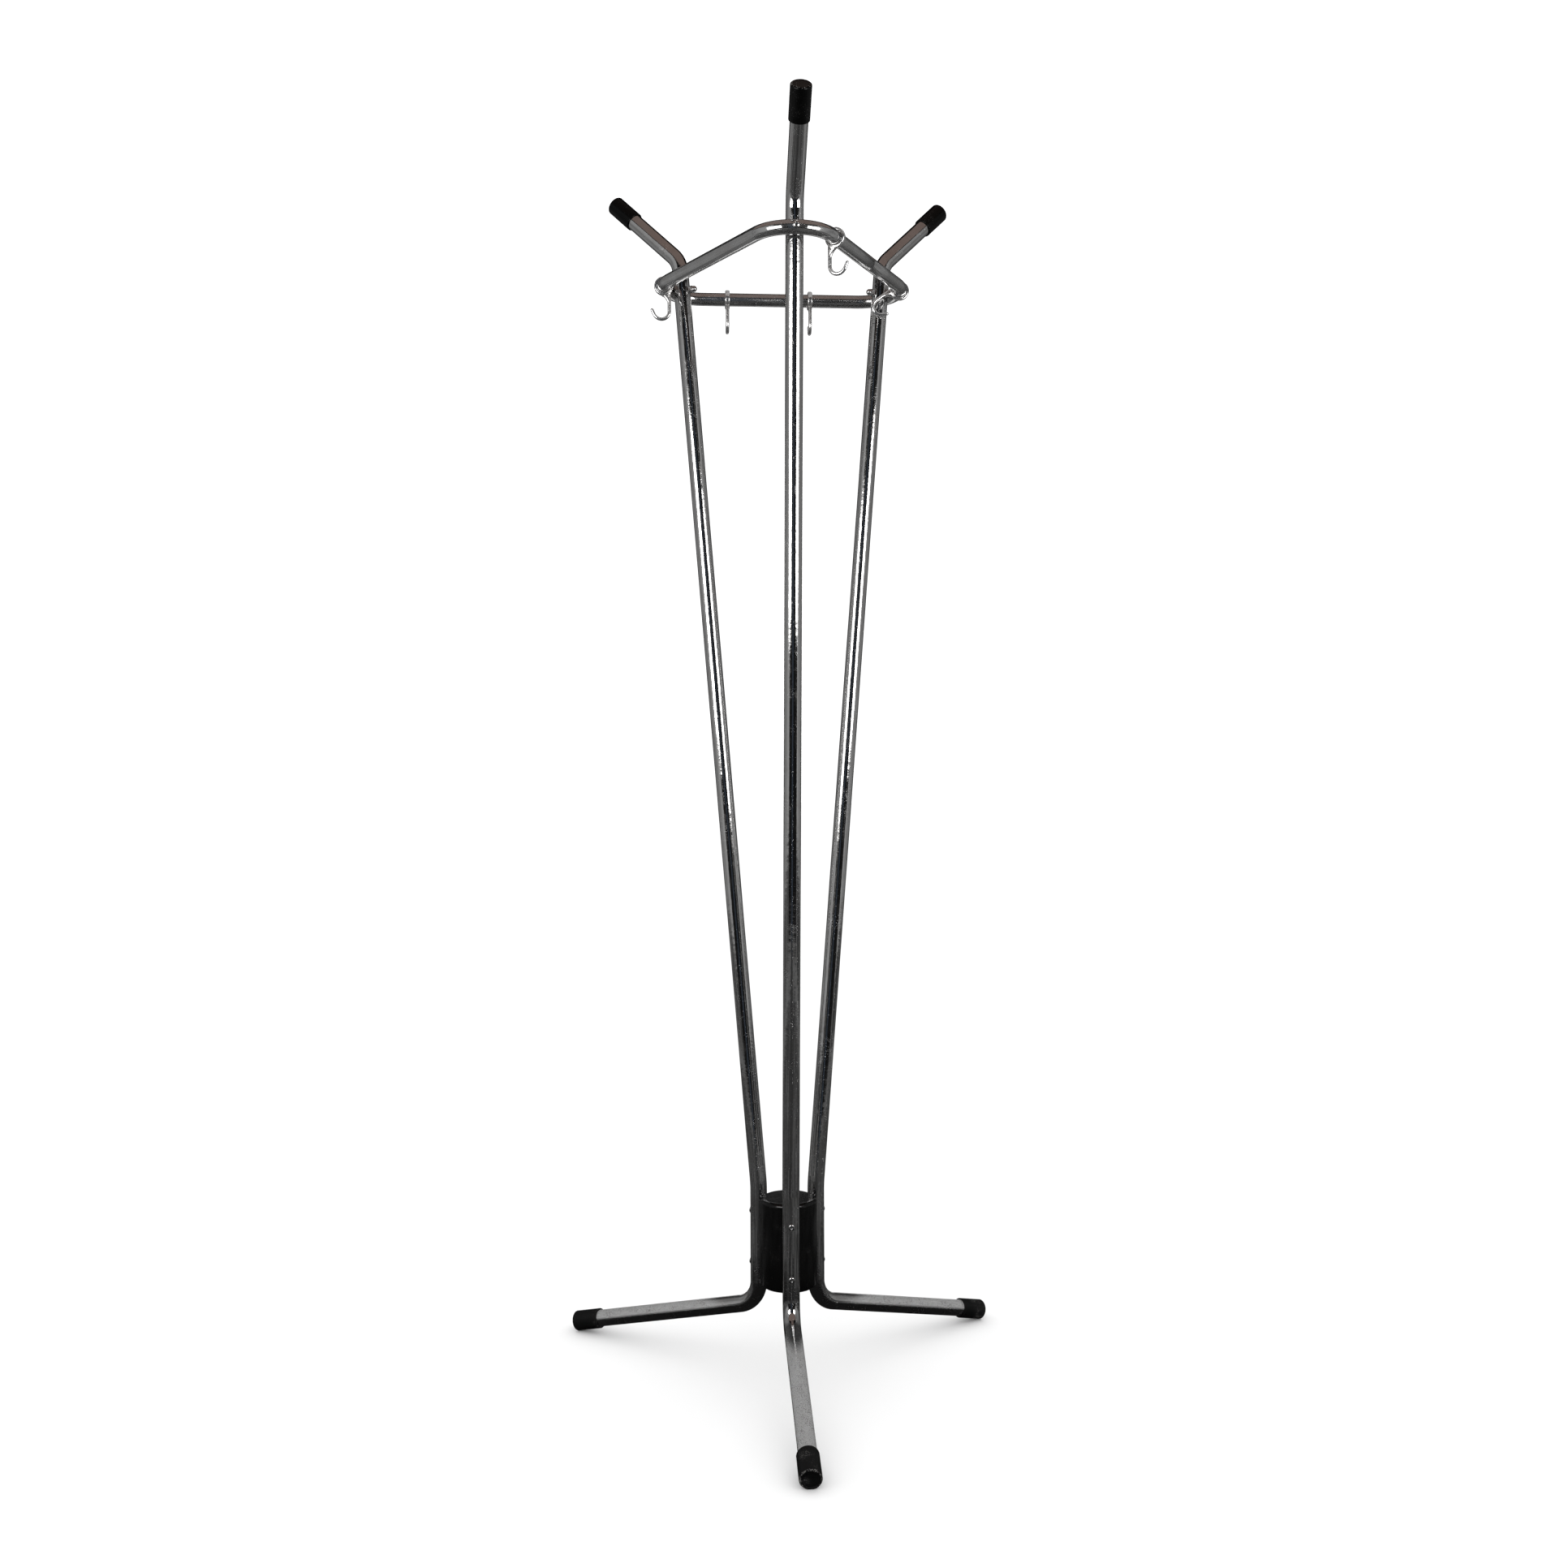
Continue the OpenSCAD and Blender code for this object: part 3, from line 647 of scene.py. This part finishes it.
def web_mesh(steps=24):
    """The flared web, from inside the eye's underside down into the wire. X is outward and Z up."""
    shank = HOOK_OFFSET - HOOK_R
    rings = []
    for i in range(steps + 1):
        s = i / steps
        z = -WEB_START - (WEB_END - WEB_START) * s
        flare = WEB_FLARE * (1 - s) ** 2
        left, right = shank - WIRE_R, shank + WIRE_R + flare
        thick = WIRE_R * (0.96 + 0.16 * (1 - s) ** 3)
        squareness = 1 - 0.45 * (1 - s)
        ring = []
        for j in range(WIRE_SIDES):
            a = 2 * math.pi * j / WIRE_SIDES
            c, d = math.cos(a), math.sin(a)
            x = (left + right) / 2 + (right - left) / 2 * math.copysign(abs(c) ** squareness, c)
            ring.append((x, thick * math.copysign(abs(d) ** squareness, d), z))
        rings.append(ring)
    return loft("web", rings)


def wire_mesh():
    """Shank, J and lip: a wire that thins a little toward its blunt tip. Drawn in XY, with y up."""
    top = WEB_START + 4
    pen = Pen(HOOK_OFFSET - HOOK_R, -top, -90)
    pen.straight(HOOK_DROP - top, 4.0)
    pen.bend(HOOK_R, HOOK_TURN, 5.0)
    pen.straight(HOOK_LIP, 2.0, 0.5)
    body = len(pen.samples)
    tapers = [1 - WIRE_TAPER * max(0.0, 2 * i / body - 1) for i in range(body)]
    x, y, heading = pen.samples[-1]
    for degrees in (20, 40, 60, 75, 85):
        turn, h = math.radians(degrees), math.radians(heading)
        reach = WIRE_R * math.sin(turn)
        pen.samples.append((x + reach * math.cos(h), y + reach * math.sin(h), heading))
        tapers.append((1 - WIRE_TAPER) * math.cos(turn))
    rings = []
    for (x, y, _), taper, ring in zip(pen.samples, tapers, pen.rings(WIRE_R, WIRE_SIDES)):
        rings.append([(x + (p[0] - x) * taper, y + (p[1] - y) * taper, p[2] * taper) for p in ring])
    return loft("wire", rings)


def hook_mesh():
    """A cast hook in one skin: the eye, web and wire run into each other with soft fillets."""
    upright = Matrix.Rotation(math.pi / 2, 4, "X")
    whole = merge("hook", [(eye_mesh(), upright), (web_mesh(), Matrix()), (wire_mesh(), upright)])
    made = bpy.data.objects.new("hook_casting", whole)
    bpy.context.scene.collection.objects.link(made)
    remesh = made.modifiers.new("fuse", "REMESH")
    remesh.mode = "VOXEL"
    remesh.voxel_size = 0.42 * MM
    smooth = made.modifiers.new("soften", "SMOOTH")
    smooth.factor, smooth.iterations = 0.5, 7
    data = bpy.data.meshes.new_from_object(made.evaluated_get(bpy.context.evaluated_depsgraph_get()))
    bpy.data.objects.remove(made)
    bpy.data.meshes.remove(whole)
    _true_bore(data)
    data.shade_smooth()
    return data


def _true_bore(data):
    """Puts the skin near the bore back onto the bore, and keeps the rest clear of it."""
    for vertex in data.vertices:
        x, y, z = vertex.co / MM
        r = math.hypot(x, z)
        if r < EYE_BORE + 0.3 and abs(y) < EYE_LENGTH / 2 - 0.5 or r < EYE_BORE:
            vertex.co.x, vertex.co.z = x * EYE_BORE / r * MM, z * EYE_BORE / r * MM


def hook_places():
    """Each hook's frame: its origin on the rail's centre line, x out of the rail, y along it."""
    places = {}
    for name, (direction, along) in RUN_HOOKS.items():
        places[name] = turn_about_z(direction) @ shift(RAIL_DISTANCE, along, RAIL_HEIGHT)
    for name, (direction, angle, swing) in CORNER_HOOKS.items():
        corner = turn_about_z(direction) @ shift(CORNER_CENTRE, 0, RAIL_HEIGHT)
        turned_in = Matrix.Rotation(math.radians(swing), 4, "Y")
        places[name] = corner @ turn_about_z(angle) @ shift(RAIL_CORNER, 0, 0) @ turned_in
    return places


def build_hooks():
    casting = hook_mesh()
    for name, place in hook_places().items():
        piece("cast_" + name, casting, place, name, "hook_chrome", MATERIALS["hook_chrome"], name)


def finish_hidden_nodes():
    """The pieces inside the hub and the rail keep their CAD shapes."""
    finishes = {"ring_sleeve": "sleeve_steel"}
    finishes.update({"hub_inserts_" + side: "insert_brass" for side in LEG_DIRECTIONS})
    for name, slot_name in finishes.items():
        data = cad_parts[name].data
        data.materials.clear()
        data.materials.append(MATERIALS[slot_name])


# --- Studio ---------------------------------------------------------------------------------------


def build_camera():
    """The photograph's view: level, at chest height, a little to the left of the front leg."""
    azimuth, roll = math.radians(CAMERA_AZIMUTH), math.radians(0.186)
    distance, sideways, height = 2.2392, -0.0045, 0.9011
    look = Vector((math.sin(azimuth), math.cos(azimuth), 0))
    across = Vector((math.cos(azimuth), -math.sin(azimuth), 0))
    right = across * math.cos(roll) - Vector((0, 0, 1)) * math.sin(roll)
    up = across * math.sin(roll) + Vector((0, 0, 1)) * math.cos(roll)
    data = bpy.data.cameras.new("camera")
    data.sensor_width, data.lens, data.shift_y = 36, 34.72, -0.0146
    data.clip_start, data.clip_end = 0.05, 100
    camera = bpy.data.objects.new("camera", data)
    camera.matrix_world = Matrix((right, up, -look)).transposed().to_4x4()
    camera.location = across * sideways - look * distance + Vector((0, 0, height))
    bpy.context.scene.collection.objects.link(camera)
    bpy.context.scene.camera = camera


def build_floor():
    """A plain pale floor that the object stands on. The chrome doesn't mirror it."""
    half = 30
    corners = [(-half, -half, 0), (half, -half, 0), (half, half, 0), (-half, half, 0)]
    data = bpy.data.meshes.new("floor")
    data.from_pydata(corners, [], [(0, 1, 2, 3)])
    material, s = new_material("floor")
    s.main.inputs["Base Color"].default_value = grey(0.9)
    s.main.inputs["Roughness"].default_value = 1.0
    s.main.inputs["Specular IOR Level"].default_value = 0.0
    data.materials.append(material)
    floor = bpy.data.objects.new("floor", data)
    floor.visible_glossy = False
    bpy.context.scene.collection.objects.link(floor)


def build_world():
    """White surroundings that light the object and stand behind it. Mirrors see the room instead."""
    world = bpy.data.worlds.new("studio")
    bpy.context.scene.world = world
    s = Shader(world)
    s.tree.nodes.clear()
    white = s.add("Background", _in={"Color": grey(1.0), "Strength": 1.22})
    dim = s.add("Background", _in={"Color": grey(0.1), "Strength": 1.0})
    both = s.add("MixShader", _in={0: s.add("LightPath", "Is Glossy Ray"), 1: white, 2: dim})
    output = s.tree.nodes.new("ShaderNodeOutputWorld")
    s.set(output.inputs["Surface"], both)


def room_wall(s, x, y, z, streaks):
    """Dark skirting, grey paint with upright streaks, a pale wall behind and a dark, bluish gap ahead."""
    side = s.math("ABSOLUTE", x)
    skirting = s.mix(s.step(streaks, 0.38, 0.62), grey(0.03), grey(0.16))
    patches = s.noise(s.add("TexCoord", "Object"), 0.9, 3)
    paint = s.mix(s.step(streaks, 0.35, 0.6), grey(0.13), grey(0.22))
    paint = s.mix(s.step(patches, 0.35, 0.65), paint, grey(0.26))
    paint = s.mix(s.step(y, 0.9, 1.9), paint, grey(0.05))
    paint = s.mix(s.step(y, -1.2, 0.2, 1.0, 0.0), paint, grey(0.36))
    wall = s.mix(s.step(z, 0.3, 0.42), skirting, paint)
    middle_behind = s.math("MULTIPLY", s.step(y, 0.0, 0.4), s.step(side, 0.65, 0.85, 1.0, 0.0))
    pale_band = s.math("MULTIPLY", s.step(z, 1.3, 1.4), s.step(z, 1.8, 1.9, 1.0, 0.0))
    pale = s.math("ADD", s.step(z, 0.5, 0.6, 1.0, 0.0), pale_band)
    wall = s.mix(s.math("MULTIPLY", middle_behind, pale), wall, grey(0.8))
    wall = s.mix(s.math("MULTIPLY", middle_behind, s.step(z, 2.3, 2.5)), wall, grey(0.004))
    ahead = s.step(s.math("ADD", y, s.math("MULTIPLY", x, -0.11)), -1.52, -1.4, 1.0, 0.0)
    wall = s.mix(ahead, wall, s.mix(s.step(side, 0.1, 0.5), (0.04, 0.05, 0.065, 1), grey(0.008)))
    cornice = s.math("MULTIPLY", s.step(z, 2.68, 2.74), s.step(y, 0.3, 0.6, 1.0, 0.0))
    return s.mix(cornice, wall, grey(0.01))


def room_floor(s, x, y, streaks):
    """A streaky floor, dark under the stand and ahead of it and paler along the walls."""
    reach = s.math("SQRT", s.math("ADD", s.math("MULTIPLY", x, x), s.math("MULTIPLY", y, y)))
    open_floor = s.mix(s.step(streaks, 0.38, 0.62), grey(0.02), grey(0.11))
    floor = s.mix(s.step(reach, 0.3, 0.6), grey(0.01), open_floor)
    floor = s.mix(s.step(reach, 1.7, 1.9), floor, grey(0.15))
    middle = s.step(s.math("ABSOLUTE", x), 0.2, 0.5, 1.0, 0.0)
    ahead = s.math("MULTIPLY", s.step(y, -1.0, -0.5, 1.0, 0.0), middle)
    return s.mix(ahead, floor, grey(0.04))


def room_material():
    """The room's own glow at each place, in metres from its middle: its floor, walls and brown ceiling."""
    material = bpy.data.materials.new("room")
    s = Shader(material)
    s.tree.nodes.clear()
    axes = s.tree.nodes.new("ShaderNodeSeparateXYZ")
    s.set(axes.inputs[0], s.add("TexCoord", "Object"))
    x, y, z = axes.outputs
    streaks = s.noise(s.add("CombineXYZ", _in={0: x, 1: y}), 3.5, 4)
    floor, wall = room_floor(s, x, y, streaks), room_wall(s, x, y, z, streaks)
    ceiling = s.mix(s.step(y, 0.4, 0.7), (0.2, 0.152, 0.135, 1), grey(0.004))
    glow = s.mix(s.step(z, 0.01, 0.02), floor, wall)
    glow = s.mix(s.step(z, ROOM_HEIGHT - 0.02, ROOM_HEIGHT - 0.01), glow, ceiling)
    lit = s.add("Emission", _in={"Color": glow, "Strength": 1.0})
    s.set(s.tree.nodes.new("ShaderNodeOutputMaterial").inputs["Surface"], lit)
    return material


def build_room():
    """A dim round room that only mirrors see. It stands for the room the stand was photographed in."""
    outline = [(0.001, 0), (ROOM_R / MM, 0), (ROOM_R / MM, ROOM_HEIGHT / MM), (0.001, ROOM_HEIGHT / MM)]
    data = turned("room", outline)
    data.materials.append(room_material())
    room = bpy.data.objects.new("room", data)
    room.rotation_euler.z = -math.radians(CAMERA_AZIMUTH)
    room.visible_camera = room.visible_diffuse = room.visible_shadow = False
    bpy.context.scene.collection.objects.link(room)


def build_lights():
    """Two tall lamps beside the camera, whose reflections are the bright streaks on the poles."""
    tall, centre, radiance = 0.8, 1.4, 6
    for name, x, y, wide in (("lamp_left", -1.0, -1.12, 0.8), ("lamp_right", 0.98, -1.14, 0.68)):
        data = bpy.data.lights.new(name, "AREA")
        data.shape, data.size, data.size_y = "RECTANGLE", wide, tall
        data.energy = radiance * math.pi * wide * tall
        lamp = bpy.data.objects.new(name, data)
        lamp.location = (x, y, centre)
        lamp.rotation_euler = Vector((-x, -y, 0)).to_track_quat("-Z", "Y").to_euler()
        lamp.visible_camera = lamp.visible_diffuse = False
        bpy.context.scene.collection.objects.link(lamp)


# --- Everything together --------------------------------------------------------------------------

build_camera()
build_floor()
build_world()
build_room()
build_lights()
build_legs()
build_hub()
build_caps()
build_rail()
build_hooks()
finish_hidden_nodes()
bpy.context.scene.view_settings.view_transform = "Standard"
